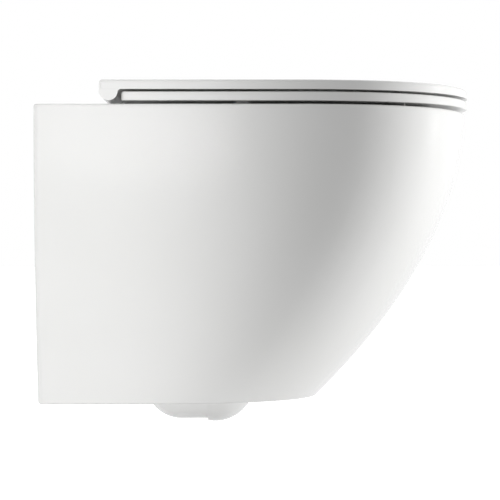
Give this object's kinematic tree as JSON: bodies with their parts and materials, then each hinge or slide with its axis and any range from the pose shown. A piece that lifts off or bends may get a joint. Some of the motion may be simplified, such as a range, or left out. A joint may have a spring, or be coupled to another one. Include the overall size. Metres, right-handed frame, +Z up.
{
  "type": "wall hung toilet",
  "caption": "Compact wall hung toilet: skirted ceramic pan with a hidden trapway, slim seat and lid on soft-closing hinges.",
  "frame": {"origin": "on the wall, midway between the two wall studs", "axes": "+X out of the wall towards the nose, +Z up"},
  "size_m": [0.493, 0.36, 0.3893],
  "materials": {
    "ceramic": "gloss glaze",
    "cover_white": "gloss",
    "clear_rubber": "satin",
    "black_rubber": "matte",
    "grey_plastic": "satin",
    "polished": "polished",
    "steel": "satin"
  },
  "bodies": {
    "pan": {"pan": "ceramic", "inlet_seal": "black_rubber", "fixing_sleeves": "grey_plastic", "fixing_washers": "steel", "fixing_nuts": "steel", "hinge_post_left": "polished", "hinge_post_right": "polished", "hinge_gaskets": "grey_plastic", "hinge_studs": "steel", "hinge_sleeves": "black_rubber", "hinge_washers": "steel", "hinge_nuts": "steel", "post_screws": "steel", "lid_damper_shaft": "steel", "seat_damper_shaft": "steel"},
    "seat": {"seat": "cover_white", "seat_buffers": "clear_rubber", "seat_damper_housing": "grey_plastic", "seat_damper_cap": "grey_plastic", "seat_bush": "grey_plastic"},
    "lid": {"lid": "cover_white", "lid_buffers": "clear_rubber", "lid_damper_housing": "grey_plastic", "lid_damper_cap": "grey_plastic", "lid_bush": "grey_plastic"}
  },
  "joints": [
    {"name": "seat_hinge", "type": "hinge", "parent": "pan", "child": "seat", "pos_m": [0.082, 0, 0.0937], "axis": [0, -1, 0], "range_deg": [0, 90]},
    {"name": "lid_hinge", "type": "hinge", "parent": "seat", "child": "lid", "pos_m": [0.082, 0, 0.0937], "axis": [0, -1, 0], "range_deg": [0, 90]}
  ]
}
